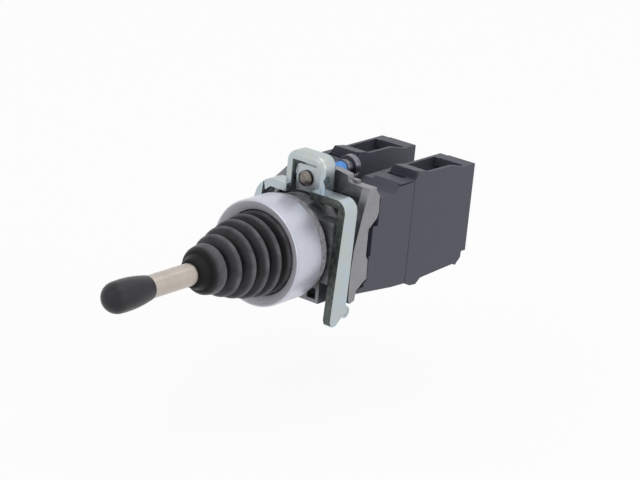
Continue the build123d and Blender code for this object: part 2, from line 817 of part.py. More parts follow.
with BuildSketch() as front_profile:
    with BuildLine():
        Polyline(
            (block_seam, block_bottom),
            (block_seam - 6.1, block_bottom + 0.3),
            (web_rear + loose_gap, 2.0 - collar_foot_drop),
            (web_rear + loose_gap, 2.8 - collar_foot_drop),
            (block_front, 3.5 - collar_foot_drop),
            (block_front, bar_bottom - loose_gap),
            (ramp_front, bar_bottom - loose_gap),
            (ramp_front + ramp_length * 0.4, bar_bottom + 0.6),
            (ramp_front + ramp_length, block_deck),
            (block_seam, block_deck),
            close=True,
        )
    make_face()

with BuildSketch() as rear_profile:
    with BuildLine():
        Polyline(
            (block_seam, block_deck),
            (block_seam + latch_lip_setback, block_deck),
            (block_seam + latch_lip_setback, latch_lip_top),
            (block_seam + latch_lip_setback + latch_lip_length, latch_lip_top - 0.6),
            (block_seam + 6.5, block_crown + 0.2),
            (block_seam + crown_run, block_crown),
            (block_rear - 5.5, block_top),
            (block_rear, block_top),
            (block_rear, block_bottom + 3.6),
            (block_rear - 2.0, block_bottom + 3.7),
            (block_rear - 2.1, block_bottom + 1.9),
            (block_rear - 3.8, block_bottom + 0.5),
            (block_rear - 4.2, block_bottom),
            (block_rear - 5.8, block_bottom + 0.6),
            (block_seam + 7.4, block_bottom),
            (block_seam + 5.3, block_bottom - 1.5),
            (block_seam + 2.5, block_bottom - 1.2),
            (block_seam, block_bottom),
            close=True,
        )
    make_face()


def side_step(middle, depth):
    """What is cut away above the left strip of a block's top, drawn at one depth."""
    with BuildSketch(at_depth(depth)) as step:
        with Locations((middle - block_half, side_step_top)):
            Rectangle(side_step_width, block_wall * 6, align=(Align.MIN, Align.MIN))
    return step.sketch


def front_case(middle):
    """Front half of a contact block, with the seats for the collar's cheeks and the latch slot."""
    with BuildPart() as case:
        with BuildSketch(Plane.YZ.offset(middle - block_half)):
            add(front_profile.sketch)
        extrude(amount=block_width)
        for start in (middle - block_half, middle + block_half - side_recess):
            with BuildSketch(Plane.YZ.offset(start)):
                add(recess_profile.sketch)
            extrude(amount=side_recess, mode=Mode.SUBTRACT)
        extrude(side_step(middle, block_seam), amount=block_seam - ramp_front, mode=Mode.SUBTRACT)
        slot_left = middle - block_half + side_step_width + block_wall / 2
        with BuildSketch(at_depth(block_seam)):
            with Locations((slot_left, block_deck + block_wall)):
                Rectangle(latch_slot_width, block_deck, align=(Align.MIN, Align.MAX))
        extrude(amount=latch_slot_reach, mode=Mode.SUBTRACT)
        with BuildSketch(at_depth(block_seam)):
            with Locations((middle, 0)):
                Rectangle(2 * chamber_half, 2 * chamber_height)
        extrude(amount=block_seam - chamber_front, mode=Mode.SUBTRACT)
        with BuildSketch(at_depth(chamber_front)):
            with Locations((middle, 0)):
                Rectangle(2 * (core_half - block_wall), 2 * (chamber_height - 3))
        extrude(amount=chamber_front - block_front - block_wall, mode=Mode.SUBTRACT)
        with BuildSketch(at_depth(chamber_front)):
            with Locations((middle, pole_height), (middle, -pole_height)):
                Circle(plunger_diameter / 2 + seat_gap)
        extrude(amount=chamber_front - block_front + block_wall, mode=Mode.SUBTRACT)
    return case


def rear_case(middle):
    """Rear half of a contact block, with its spigot, terminal chambers and wire entries."""
    chamber_start = block_seam + block_wall
    chamber_end = block_rear - block_wall
    sides = (1, -1)
    with BuildPart() as case:
        with BuildSketch(Plane.YZ.offset(middle - block_half)):
            add(rear_profile.sketch)
        extrude(amount=block_width)
        extrude(side_step(middle, block_rear), amount=block_rear - block_seam, mode=Mode.SUBTRACT)
        with BuildSketch(at_depth(chamber_start)):
            with Locations((middle, 0)):
                Rectangle(2 * (chamber_half - seat_gap), 2 * (chamber_height - seat_gap))
        extrude(amount=chamber_start - spigot_front)
        with BuildSketch(at_depth(chamber_end)):
            for up in sides:
                with Locations((middle, up * (chamber_height + middle_wall / 2) / 2)):
                    Rectangle(2 * chamber_half, chamber_height - middle_wall / 2)
        extrude(amount=chamber_end - chamber_start, mode=Mode.SUBTRACT)
        with BuildSketch(at_depth(chamber_end)):
            for up in sides:
                with Locations((middle, up * terminal_top / 2)):
                    Rectangle(partition, terminal_top)
        extrude(amount=chamber_end - chamber_start)
        with BuildSketch(Plane.XY.offset(-2 * chamber_height)):
            with Locations((middle, (entry_front + entry_rear) / 2)):
                Rectangle(2 * chamber_half, entry_rear - entry_front)
        extrude(amount=2 * chamber_height - terminal_top - seat_gap, mode=Mode.SUBTRACT)
        with BuildSketch(Plane.XY.offset(2 * chamber_height)):
            with Locations((middle, (entry_front + entry_rear) / 2)):
                Rectangle(2 * chamber_half, entry_rear - entry_front)
        extrude(amount=terminal_top + seat_gap - 2 * chamber_height, mode=Mode.SUBTRACT)
        with BuildSketch(at_depth(chamber_start)):
            with GridLocations(2 * terminal_spread, 0, 2, 1):
                for up in sides:
                    with Locations((middle, up * (strip_level + strip_thickness / 2))):
                        Rectangle(strip_width + 2 * seat_gap, strip_thickness + 2 * seat_gap)
        extrude(amount=chamber_start - spigot_front, mode=Mode.SUBTRACT)
        with BuildSketch(at_depth(block_rear)):
            with GridLocations(2 * terminal_spread, 2 * terminal_height, 2, 2):
                with Locations((middle, 0)):
                    Circle(terminal_head_diameter / 2 + loose_gap)
        extrude(amount=2 * block_wall, mode=Mode.SUBTRACT)
    return case


def terminal_places(middle):
    """Sketch places of the four terminals of one block, as x and z."""
    return [
        (middle + across * terminal_spread, up * terminal_height)
        for across in (-1, 1)
        for up in (-1, 1)
    ]


def contact_strips(middle):
    """Four fixed contacts: contact leg, run over the screw and upright terminal plate."""
    with BuildPart() as strips:
        with BuildSketch(Plane.YZ.offset(middle + terminal_spread - strip_width / 2)):
            with BuildLine():
                Polyline(
                    (strip_front, pole_height - bridge_width / 2),
                    (strip_front, strip_level + strip_thickness),
                    (plate_rear, strip_level + strip_thickness),
                    (plate_rear, terminal_height - terminal_head_diameter * 0.8),
                    (terminal_plate, terminal_height - terminal_head_diameter * 0.8),
                    (terminal_plate, strip_level),
                    (strip_front + strip_thickness, strip_level),
                    (strip_front + strip_thickness, pole_height - bridge_width / 2),
                    close=True,
                )
            make_face()
        extrude(amount=strip_width)
        with BuildSketch(at_depth(plate_rear)):
            with Locations((middle + terminal_spread, terminal_height - 0.6)):
                Rectangle(terminal_head_diameter, terminal_head_diameter)
        extrude(amount=strip_thickness)
        with BuildSketch(at_depth(plate_rear)):
            with Locations((middle + terminal_spread, terminal_height)):
                Circle(terminal_screw_diameter / 2 + running_gap)
        extrude(amount=strip_thickness, mode=Mode.SUBTRACT)
        mirror(about=Plane.YZ.offset(middle))
        mirror(about=Plane.XY)
    return strips


def wire_clamps(middle):
    """Four square clamp washers under the terminal screws' heads."""
    with BuildPart() as clamps:
        with BuildSketch(at_depth(clamp_rear)):
            with Locations(*terminal_places(middle)):
                Rectangle(terminal_head_diameter, terminal_head_diameter)
                Circle(terminal_screw_diameter / 2 + running_gap, mode=Mode.SUBTRACT)
        extrude(amount=strip_thickness)
    return clamps


def terminal_screws(middle):
    """Four captive screws with crossed heads, reached through the rear wall."""
    head_rear_face = clamp_rear + terminal_head_length
    with BuildPart() as screws:
        with BuildSketch(at_depth(clamp_rear)):
            with Locations(*terminal_places(middle)):
                Circle(terminal_screw_diameter / 2)
        extrude(amount=terminal_screw_length)
        with BuildSketch(at_depth(head_rear_face)):
            with Locations(*terminal_places(middle)):
                Circle(terminal_head_diameter / 2)
        extrude(amount=terminal_head_length)
        with BuildSketch(at_depth(head_rear_face)):
            with Locations(*terminal_places(middle)):
                Rectangle(terminal_head_diameter * 0.7, terminal_slot_width)
                Rectangle(terminal_slot_width, terminal_head_diameter * 0.7)
        extrude(amount=terminal_head_length / 2, mode=Mode.SUBTRACT)
    return screws


for side, hand in (("left", -1), ("right", 1)):
    middle = hand * block_middle
    finish_piece(front_case(middle), f"{side}_front_case")
    finish_piece(rear_case(middle), f"{side}_rear_case")
    finish_piece(contact_strips(middle), f"{side}_contact_strips")
    finish_piece(wire_clamps(middle), f"{side}_wire_clamps")
    finish_piece(terminal_screws(middle), f"{side}_terminal_screws")
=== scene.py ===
import json
import math
import bmesh
import bpy
from mathutils import Euler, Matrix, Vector


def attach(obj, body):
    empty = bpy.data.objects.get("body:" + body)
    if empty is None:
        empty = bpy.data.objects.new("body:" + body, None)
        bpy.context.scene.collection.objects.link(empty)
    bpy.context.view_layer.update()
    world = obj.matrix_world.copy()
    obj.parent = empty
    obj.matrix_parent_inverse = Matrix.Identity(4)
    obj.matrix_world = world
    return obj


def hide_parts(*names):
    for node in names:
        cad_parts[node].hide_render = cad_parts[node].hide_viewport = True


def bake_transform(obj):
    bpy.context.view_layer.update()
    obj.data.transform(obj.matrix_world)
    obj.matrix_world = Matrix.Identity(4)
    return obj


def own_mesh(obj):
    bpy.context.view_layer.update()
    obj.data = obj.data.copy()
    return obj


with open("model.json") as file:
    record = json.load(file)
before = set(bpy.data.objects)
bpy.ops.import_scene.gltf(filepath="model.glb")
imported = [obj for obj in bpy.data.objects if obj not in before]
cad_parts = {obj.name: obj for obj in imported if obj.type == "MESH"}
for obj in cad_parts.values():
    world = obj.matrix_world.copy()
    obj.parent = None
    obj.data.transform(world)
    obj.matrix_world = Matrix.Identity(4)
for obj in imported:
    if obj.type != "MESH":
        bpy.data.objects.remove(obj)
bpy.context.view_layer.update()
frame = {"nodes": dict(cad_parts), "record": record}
mm = 0.001  # sizes below are written in millimetres
bodies = frame["record"]["behaviour"]["bodies"]
bodyOfNode = {node: body for body, nodes in bodies.items() for node in nodes}
slotOfNode = {row["node"]: row["material_slot"] for row in frame["record"]["subparts"]}
print("frame loaded:", len(frame["nodes"]), "nodes")

# points nearer than weld are merged in a new piece, and slack is the tolerance of a cut, in mm
weld = 0.0005
slack = 0.001
# a copy of a CAD node: its own weld, and two angles in degrees; faces that meet flatter than the
# first become one, and edges sharper than the second stay crisp and are rounded
cadCopy = {"weld": 0.0008, "flat": 1.2, "crisp": 32, "segments": 2}

# camera, lamps and floor
shot = {
    "place": (339.81, -432.26, 191.69), "turn": (70.906, -5.095, 38.935),
    "lens": 123.12, "sensor": 36, "clipMetres": (0.01, 30),
}
lamps = {
    "overheadSoftbox": {"at": (250, 250, 1250), "size": 1100, "power": 3.2},
    "sideSoftbox": {"at": (1200, 150, 420), "size": 1000, "power": 2.2},
    "frontFill": {"at": (-250, -1100, 650), "size": 900, "power": 1.0},
}
# whiteShare is less than all, so that the object's shadow stays on the floor
floorLook = {
    "size": 6000, "under": 46, "colour": "#ffffff", "rough": 0.9, "whiteShare": 0.9,
    "ambientColour": "#f4f4f6", "ambient": 0.66,
}


def hexColour(text):
    # sRGB hex to linear
    parts = [int(text[i:i + 2], 16) / 255 for i in (1, 3, 5)]
    return [c / 12.92 if c <= 0.04045 else ((c + 0.055) / 1.055) ** 2.4 for c in parts] + [1.0]


def addNode(tree, kind, settings=None, links=None):
    node = tree.nodes.new(kind)
    for key, value in (settings or {}).items():
        if key in node.inputs:
            node.inputs[key].default_value = value
        else:
            setattr(node, key, value)
    for socket, source in (links or {}).items():
        tree.links.new(source, node.inputs[socket])
    return node


def setCamera():
    data = bpy.data.cameras.new("photoCamera")
    data.lens = shot["lens"]
    data.sensor_width = shot["sensor"]
    data.clip_start, data.clip_end = shot["clipMetres"]
    camera = bpy.data.objects.new("photoCamera", data)
    camera.location = Vector(shot["place"]) * mm
    camera.rotation_euler = Euler([math.radians(angle) for angle in shot["turn"]])
    bpy.context.collection.objects.link(camera)
    bpy.context.scene.camera = camera


def setLamps():
    for name, lamp in lamps.items():
        data = bpy.data.lights.new(name, "AREA")
        data.size = lamp["size"] * mm
        data.energy = lamp["power"]
        thing = bpy.data.objects.new(name, data)
        thing.location = Vector(lamp["at"]) * mm
        thing.rotation_euler = (-thing.location).to_track_quat("-Z", "Y").to_euler()
        bpy.context.collection.objects.link(thing)


def backdropRays(tree):
    # 1 for what the camera sees straight, in a reflection or through glass, and 0 for the rest
    path = addNode(tree, "ShaderNodeLightPath")
    rays = path.outputs["Is Camera Ray"]
    for kind in ("Is Glossy Ray", "Is Transmission Ray"):
        either = addNode(tree, "ShaderNodeMath", {"operation": "MAXIMUM"})
        tree.links.new(rays, either.inputs[0])
        tree.links.new(path.outputs[kind], either.inputs[1])
        rays = either.outputs[0]
    return rays


def setWorld():
    world = bpy.data.worlds.new("studio")
    bpy.context.scene.world = world
    world.use_nodes = True
    tree = world.node_tree
    tree.nodes.clear()
    soft = addNode(tree, "ShaderNodeBackground", {"Color": hexColour(floorLook["ambientColour"]),
                                                  "Strength": floorLook["ambient"]})
    white = addNode(tree, "ShaderNodeBackground", {"Color": hexColour(floorLook["colour"]), "Strength": 1.0})
    mix = addNode(tree, "ShaderNodeMixShader", {}, {"Fac": backdropRays(tree)})
    tree.links.new(soft.outputs[0], mix.inputs[1])
    tree.links.new(white.outputs[0], mix.inputs[2])
    addNode(tree, "ShaderNodeOutputWorld", {}, {"Surface": mix.outputs[0]})


def setFloor():
    bm = bmesh.new()
    bmesh.ops.create_grid(bm, x_segments=1, y_segments=1, size=floorLook["size"] * mm / 2)
    bmesh.ops.translate(bm, verts=bm.verts, vec=(0, 0, -floorLook["under"] * mm))
    floor = newPiece("floor", bm)
    material = bpy.data.materials.new("paperFloor")
    material.use_nodes = True
    tree = material.node_tree
    shader = tree.nodes["Principled BSDF"]
    shader.inputs["Base Color"].default_value = hexColour(floorLook["colour"])
    shader.inputs["Roughness"].default_value = floorLook["rough"]
    share = addNode(tree, "ShaderNodeMath", {"operation": "MULTIPLY"})
    tree.links.new(backdropRays(tree), share.inputs[0])
    share.inputs[1].default_value = floorLook["whiteShare"]
    glow = addNode(tree, "ShaderNodeEmission", {"Color": hexColour(floorLook["colour"]), "Strength": 1.0})
    mix = addNode(tree, "ShaderNodeMixShader", {}, {"Fac": share.outputs[0]})
    tree.links.new(shader.outputs[0], mix.inputs[1])
    tree.links.new(glow.outputs[0], mix.inputs[2])
    tree.links.new(mix.outputs[0], tree.nodes["Material Output"].inputs["Surface"])
    floor.data.materials.append(material)


def setSharp(bm, angle):
    # past this angle in degrees an edge stays crisp
    for edge in bm.edges:
        edge.smooth = len(edge.link_faces) == 2 and edge.calc_face_angle(0) < math.radians(angle)


def newPiece(name, bm, sharp=None):
    if sharp is not None:
        for face in bm.faces:
            face.smooth = True
        setSharp(bm, sharp)
    mesh = bpy.data.meshes.new(name)
    bm.to_mesh(mesh)
    bm.free()
    piece = bpy.data.objects.new(name, mesh)
    bpy.context.collection.objects.link(piece)
    return piece


def dress(piece, finish, body, slot, *replaced):
    piece.data.materials.append(finishes[finish])
    for node in replaced:
        if node in zones:
            piece.data.materials.append(finishes[zones[node][0]])
    if body:
        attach(piece, body)
    if replaced:
        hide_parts(*replaced)
    return piece


def turned(outline, steps, rounding=None, closed=True):
    # outline: (radius, depth) pairs; rounding: {corner index: (size, segments)}
    bm = bmesh.new()
    verts = [bm.verts.new((radius * mm, depth * mm, 0)) for radius, depth in outline]
    for first, second in zip(verts, verts[1:]):
        bm.edges.new((first, second))
    if closed:
        bm.edges.new((verts[-1], verts[0]))
    for corner, (size, segments) in (rounding or {}).items():
        bmesh.ops.bevel(bm, geom=[verts[corner]], offset=size * mm, offset_type="OFFSET",
                        segments=segments, profile=0.5, affect="VERTICES", material=-1)
    bmesh.ops.spin(bm, geom=bm.verts[:] + bm.edges[:], cent=(0, 0, 0), axis=(0, 1, 0),
                   dvec=(0, 0, 0), angle=math.tau, steps=steps, use_merge=True)
    bmesh.ops.remove_doubles(bm, verts=bm.verts, dist=weld * mm)
    bmesh.ops.recalc_face_normals(bm, faces=bm.faces)
    return bm


def coil(radius, wire, start, length, turns, centre, stepsPerTurn=16, wireSides=8):
    # radius is the outer one, and centre is the (x, z) of the coil's axis
    bm = bmesh.new()
    bmesh.ops.create_circle(bm, cap_ends=False, radius=wire / 2 * mm, segments=wireSides)
    bmesh.ops.translate(bm, verts=bm.verts, vec=((radius - wire / 2) * mm, (start + wire / 2) * mm, 0))
    steps = int(turns * stepsPerTurn)
    rise = (length - wire) * mm / steps
    bmesh.ops.spin(bm, geom=bm.verts[:] + bm.edges[:], cent=(0, 0, 0), axis=(0, 1, 0),
                   dvec=(0, rise, 0), angle=turns * math.tau, steps=steps, use_merge=False)
    bmesh.ops.holes_fill(bm, edges=[edge for edge in bm.edges if len(edge.link_faces) == 1], sides=0)
    bmesh.ops.recalc_face_normals(bm, faces=bm.faces)
    bmesh.ops.translate(bm, verts=bm.verts, vec=(centre[0] * mm, 0, centre[1] * mm))
    return bm


def cutAcross(bm, place, facing):
    # adds edges where a plane crosses the mesh, and takes nothing away
    bmesh.ops.bisect_plane(bm, geom=bm.verts[:] + bm.edges[:] + bm.faces[:], dist=slack * mm,
                           plane_co=place, plane_no=facing)


def softened(node, width):
    # a merged copy of a CAD node with its corners rounded as the real piece's are
    bm = bmesh.new()
    bm.from_mesh(frame["nodes"][node].data)
    bmesh.ops.remove_doubles(bm, verts=bm.verts, dist=cadCopy["weld"] * mm)
    bmesh.ops.dissolve_limit(bm, angle_limit=math.radians(cadCopy["flat"]), use_dissolve_boundaries=False,
                             verts=bm.verts, edges=bm.edges)
    if node in reshaped:
        reshaped[node](bm)
    if node in zones:
        belongs = zones[node][1]
        for face in bm.faces:
            if belongs(face.calc_center_median() / mm, face.normal):
                face.material_index = 1
    piece = newPiece(node + "_dressed", bm, sharp=cadCopy["crisp"])
    if node.endswith("_case"):
        cutGroove(piece, block["rightWalls"][node.split("_")[0]])
    bevel = piece.modifiers.new("roundedCorners", "BEVEL")
    bevel.width = width * mm
    bevel.segments = cadCopy["segments"]
    bevel.limit_method = "ANGLE"
    bevel.angle_limit = math.radians(cadCopy["crisp"])
    bevel.use_clamp_overlap = True
    bevel.harden_normals = False
    return piece


# patch: size of the colour's mottling, grain: size of the relief, relief: its height, and
# rings: spacing of the turning marks, all in mm; rough: the lowest and highest roughness
looks = {
    # electroplated chrome over a die casting: bright, with soft, faintly wavy reflections
    "chromePlatedRing": {"colour": "#cfcfda", "tone": "#c7cad6", "patch": 14, "metallic": 0.65,
                         "rough": (0.34, 0.40), "grain": 7.0, "relief": 0.012},
    # the same plating over the dish's turned, slightly frosted face, drawn nearly without metal, so its pale
    # colour is a painted reflection
    "frostedDishPaintedReflection": {"colour": "#d9d7de", "tone": "#d2d0d7", "patch": 9, "metallic": 0.1,
                          "rough": (0.42, 0.52), "grain": 2.0, "relief": 0.010},
    # nitrile rubber from a polished mould: satin black, with a painted highlight on the crests
    "mouldedNitrileRubber": {"colour": "#050506", "tone": "#0b0b0d", "patch": 3.5, "metallic": 0.0,
                             "rough": (0.36, 0.50), "grain": 0.45, "relief": 0.016, "specular": 0.2,
                             "crestHighlight": "#86858b"},
    # the same rubber filled grey for the panel seal: matt, with a pale bloom
    "greySealRubber": {"colour": "#6f6f75", "tone": "#9c9b9f", "patch": 1.3, "metallic": 0.0,
                       "rough": (0.55, 0.7), "grain": 0.5, "relief": 0.05},
    # turned and barrel-polished steel rod: warm satin with fine rings
    "turnedSteelRod": {"colour": "#c0b7af", "tone": "#b6ada5", "patch": 6.0, "metallic": 1.0,
                       "rough": (0.26, 0.36), "grain": 0.5, "relief": 0.003, "rings": 0.16},
    # phenolic grip, polished: deep black with a soft shine
    "polishedPhenolic": {"colour": "#232327", "tone": "#2b2b30", "patch": 4.0, "metallic": 0.0,
                         "rough": (0.30, 0.42), "grain": 1.6, "relief": 0.012, "specular": 0.32},
    # zinc plating, clear passivated: cool silver clouded with pale blue and green
    "zincPlatedSteel": {"colour": "#b4c0ca", "tone": "#bbc1bd", "patch": 5.0, "metallic": 1.0,
                        "rough": (0.24, 0.40), "grain": 0.5, "relief": 0.006},
    # the sheared edge of that sheet: dark, rough and thinly plated
    "shearedZincEdge": {"colour": "#4c5250", "tone": "#6c726e", "patch": 1.2, "metallic": 1.0,
                        "rough": (0.38, 0.55), "grain": 0.35, "relief": 0.02},
    # the screw's swaged tip: steel burnished brown-grey by the press
    "burnishedSteel": {"colour": "#6e6963", "tone": "#8b8580", "patch": 0.9, "metallic": 1.0,
                       "rough": (0.24, 0.36), "grain": 0.4, "relief": 0.01},
    # the rest of the screw: zinc with a violet-grey passivation
    "passivatedScrewSteel": {"colour": "#71717c", "tone": "#8c8b93", "patch": 1.0, "metallic": 1.0,
                             "rough": (0.26, 0.4), "grain": 0.3, "relief": 0.008},
    # zamak die casting, vibratory tumbled: even grey metal
    "tumbledDieCastZinc": {"colour": "#8f8e91", "tone": "#9b9a9c", "patch": 3.0, "metallic": 1.0,
                           "rough": (0.40, 0.56), "grain": 0.35, "relief": 0.014},
    # the casting's front, and every face that looks to the front: the same zinc painted darker as shade, and
    # rougher
    "paintedShadeCastZinc": {"colour": "#818486", "tone": "#98989d", "patch": 2.2, "metallic": 1.0,
                     "rough": (0.42, 0.6), "grain": 0.35, "relief": 0.02},
    # glass-filled polyamide, spark-eroded mould: blue-black with a fine even grain
    "grainedPolyamide": {"colour": "#444651", "tone": "#4a4c58", "patch": 6.0, "metallic": 0.0,
                         "rough": (0.48, 0.60), "grain": 0.30, "relief": 0.010, "specular": 0.4},
    # darker polyamide of the neck inside the panel hole
    "blackPolyamide": {"colour": "#232327", "tone": "#2a2a2e", "patch": 4.0, "metallic": 0.0,
                       "rough": (0.45, 0.58), "grain": 0.30, "relief": 0.010},
    # natural acetal of the sliding pieces: milky and waxy
    "naturalAcetal": {"colour": "#d9d6cb", "tone": "#cfccc0", "patch": 3.0, "metallic": 0.0,
                      "rough": (0.32, 0.42), "grain": 0.5, "relief": 0.006},
    # stamped brass of the contacts: yellow, slightly dulled
    "stampedBrass": {"colour": "#c9a869", "tone": "#bd9b5c", "patch": 2.5, "metallic": 1.0,
                     "rough": (0.25, 0.36), "grain": 0.3, "relief": 0.003},
    # drawn stainless spring wire: bright and smooth
    "drawnSpringWire": {"colour": "#b4b5b7", "tone": "#a9aaad", "patch": 1.0, "metallic": 1.0,
                        "rough": (0.22, 0.32), "grain": 0.2, "relief": 0.002},
    # dried polyamide thread lock, sprayed on: chalky blue
    "blueThreadLock": {"colour": "#5a9ae6", "tone": "#77b3f2", "patch": 0.8, "metallic": 0.0,
                       "rough": (0.55, 0.75), "grain": 0.25, "relief": 0.03},
}
# the part of the noise's range over which the colour and the roughness change
noiseRange = {"colour": (0.36, 0.64), "rough": (0.3, 0.7)}
waveBand = 0.314  # the width of one band of the wave texture at a scale of 1
finishes = {}


def makeFinish(name, look):
    material = bpy.data.materials.new(name)
    material.use_nodes = True
    tree = material.node_tree
    shader = tree.nodes["Principled BSDF"]
    shader.inputs["Metallic"].default_value = look["metallic"]
    shader.inputs["Specular IOR Level"].default_value = look.get("specular", 0.5)
    place = addNode(tree, "ShaderNodeTexCoord").outputs["Object"]
    clouds = addNode(tree, "ShaderNodeTexNoise", {"Scale": 1 / (look["patch"] * mm), "Detail": 4.0,
                                                  "Roughness": 0.6}, {"Vector": place})
    ramp = addNode(tree, "ShaderNodeValToRGB", {}, {"Fac": clouds.outputs["Fac"]})
    for stop, position, tint in zip(ramp.color_ramp.elements, noiseRange["colour"], ("colour", "tone")):
        stop.position = position
        stop.color = hexColour(look[tint])
    colour = ramp.outputs["Color"]
    # painted highlight on the bellows' crests: their colour is mixed towards a lighter one, mottled by the
    # noise
    if "crestHighlight" in look:  # the attribute is 1 on a crest and 0 in a groove
        crest = addNode(tree, "ShaderNodeAttribute", {"attribute_name": "crest"})
        amount = addNode(tree, "ShaderNodeMath", {"operation": "MULTIPLY"})
        tree.links.new(crest.outputs["Fac"], amount.inputs[0])
        tree.links.new(clouds.outputs["Fac"], amount.inputs[1])
        crestLit = addNode(tree, "ShaderNodeMix", {"data_type": "RGBA"})
        tree.links.new(amount.outputs[0], crestLit.inputs["Factor"])
        tree.links.new(colour, crestLit.inputs[6])  # 6 and 7 are the two colours, and 2 is their mix
        crestLit.inputs[7].default_value = hexColour(look["crestHighlight"])
        colour = crestLit.outputs[2]
    tree.links.new(colour, shader.inputs["Base Color"])
    grain = addNode(tree, "ShaderNodeTexNoise", {"Scale": 1 / (look["grain"] * mm), "Detail": 3.0},
                    {"Vector": place})
    lowest, highest = noiseRange["rough"]
    sheen = addNode(tree, "ShaderNodeMapRange", {"From Min": lowest, "From Max": highest,
                                                 "To Min": look["rough"][0], "To Max": look["rough"][1]},
                    {"Value": clouds.outputs["Fac"]})
    tree.links.new(sheen.outputs["Result"], shader.inputs["Roughness"])
    height = grain.outputs["Fac"]
    if "rings" in look:
        rings = addNode(tree, "ShaderNodeTexWave",
                        {"bands_direction": "Y", "Scale": waveBand / (look["rings"] * mm),
                         "Distortion": 1.5, "Detail": 2.0}, {"Vector": place})
        height = rings.outputs["Fac"]
    bump = addNode(tree, "ShaderNodeBump", {"Strength": 1.0, "Distance": look["relief"] * mm},
                   {"Height": height})
    tree.links.new(bump.outputs["Normal"], shader.inputs["Normal"])
    finishes[name] = material


# dish: the inner and outer radius of the frosted face, which lies in front of dishRear
bezel = {
    "outline": [(11.1, -1.8), (14.5, -1.8), (14.5, -11.2), (14.4, -11.25), (14.4, -11.4),
                (14.47, -11.45), (14.3, -11.8), (14.05, -11.8), (11.6, -10.3), (11.55, -9.7),
                (11.9, -9.3), (11.9, -8.2), (12.4, -8.2), (12.4, -3.3), (11.1, -3.3)],
    "rounding": {1: (0.1, 2), 5: (0.1, 3), 6: (0.08, 3), 7: (0.12, 3), 8: (0.3, 4)},
    "dish": (11.5, 14.0), "dishRear": -9.0,
    "steps": 160,
}
# the panel seal, not pressed by a panel: it reaches past the plane where a panel would sit
seal = {
    "outline": [(11.15, -1.8), (13.9, -1.8), (13.9, 1.2), (11.15, 1.2)],
    "rounding": {2: (0.35, 3)},
    "steps": 128,
}


def makeBezel():
    bm = turned(bezel["outline"], bezel["steps"], bezel["rounding"])
    inner, outer = bezel["dish"]
    for face in bm.faces:
        spot = face.calc_center_median() / mm
        if inner < math.hypot(spot.x, spot.z) < outer and spot.y < bezel["dishRear"]:
            face.material_index = 1
    ring = dress(newPiece("chromedBezel", bm, sharp=35), "chromePlatedRing", "housing", "chromed_bezel",
                 "bezel_ring")
    # the dish's faces take the painted reflection
    ring.data.materials.append(finishes["frostedDishPaintedReflection"])


def makeSeal():
    bm = turned(seal["outline"], seal["steps"], seal["rounding"])
    dress(newPiece("panelSeal", bm, sharp=35), "greySealRubber", "housing", "gasket_rubber", "panel_gasket")


# the bellows' outline runs from its bead over the crests to the lever; each crest gets a round
# lip, and each groove a tight fold; the shell is split in the groove in front of the waist crest
bellows = {
    "crests": [(11.35, -10.4), (11.25, -14.4), (10.6, -18.5), (9.6, -22.55), (8.3, -26.65), (6.75, -30.7)],
    "base": [(9.7, -7.05), (12.25, -7.05), (12.25, -8.15), (11.45, -8.2)],
    "dome": [(6.3, -33.2), (5.45, -34.3), (4.75, -34.55), (3.85, -36.75), (3.35, -37.1), (3.1, -37.1)],
    "lip": 0.62, "lipRound": 0.8, "lipLean": 0.06,
    "groove": 2.75, "grooveShare": 0.56, "grooveRound": 0.4,
    "domeRound": 0.25, "roundSegments": 5,
    # the wall's thickness, and the depth in mm over which the painted highlight of the crests fades out
    "wall": 0.55, "highlightFade": 0.75,
    "waistCrest": 2, "blendFrom": -11.0, "blendTo": -34.0,
    "steps": 112,
}


def bellowsPoints():
    # (radius, depth, rounding) of every corner of the outline
    points = [(radius, depth, 0) for radius, depth in bellows["base"]]
    crests = bellows["crests"]
    for index, (radius, depth) in enumerate(crests):
        points += [(radius, depth + bellows["lip"], bellows["lipRound"]),
                   (radius - bellows["lipLean"], depth - bellows["lip"], bellows["lipRound"])]
        if index + 1 < len(crests):
            nextRadius, nextDepth = crests[index + 1]
            share = bellows["grooveShare"]
            points.append(((radius + nextRadius) / 2 - bellows["groove"],
                           depth + (nextDepth - depth) * share, bellows["grooveRound"]))
    return points + [(radius, depth, bellows["domeRound"]) for radius, depth in bellows["dome"]]


def crestRadius(depth):
    # radius, at this depth, of the line that runs over the crests
    crests = bellows["crests"]
    for (radius, place), (nextRadius, nextPlace) in zip(crests, crests[1:]):
        if place >= depth > nextPlace:
            return radius + (nextRadius - radius) * (place - depth) / (place - nextPlace)
    return crests[0][0] if depth > crests[0][1] else crests[-1][0]


def foldedShell(name, points):
    rounding = {index: (size, bellows["roundSegments"])
                for index, (radius, depth, size) in enumerate(points[:-1]) if index and size}
    outline = [(radius, depth) for radius, depth, size in points]
    bm = turned(outline, bellows["steps"], rounding, closed=False)
    outward = sum((face.normal.x * face.calc_center_median().x + face.normal.z * face.calc_center_median().z)
                  for face in bm.faces)
    if outward < 0:
        bmesh.ops.reverse_faces(bm, faces=bm.faces)
    bmesh.ops.solidify(bm, geom=bm.faces, thickness=bellows["wall"] * mm)
    bmesh.ops.recalc_face_normals(bm, faces=bm.faces)
    shell = newPiece(name, bm, sharp=50)
    # the crest attribute carries the painted highlight: 1 on the line over the crests, fading to 0 deeper in
    # the grooves
    crest = shell.data.attributes.new("crest", "FLOAT", "POINT")
    for vert in shell.data.vertices:
        radius, depth = math.hypot(vert.co.x, vert.co.z) / mm, vert.co.y / mm
        fall = (crestRadius(depth) - radius) / bellows["highlightFade"]
        crest.data[vert.index].value = max(0.0, min(1.0, 1 - fall))
    dress(shell, "mouldedNitrileRubber", None, "bellows_rubber", "bellows")
    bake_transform(shell)


def makeBellows():
    points = bellowsPoints()
    cut = len(bellows["base"]) + 3 * bellows["waistCrest"] - 1  # three points to a crest and its groove
    foldedShell("bellowsLower", points[:cut + 1])
    foldedShell("bellowsUpper", points[cut:])


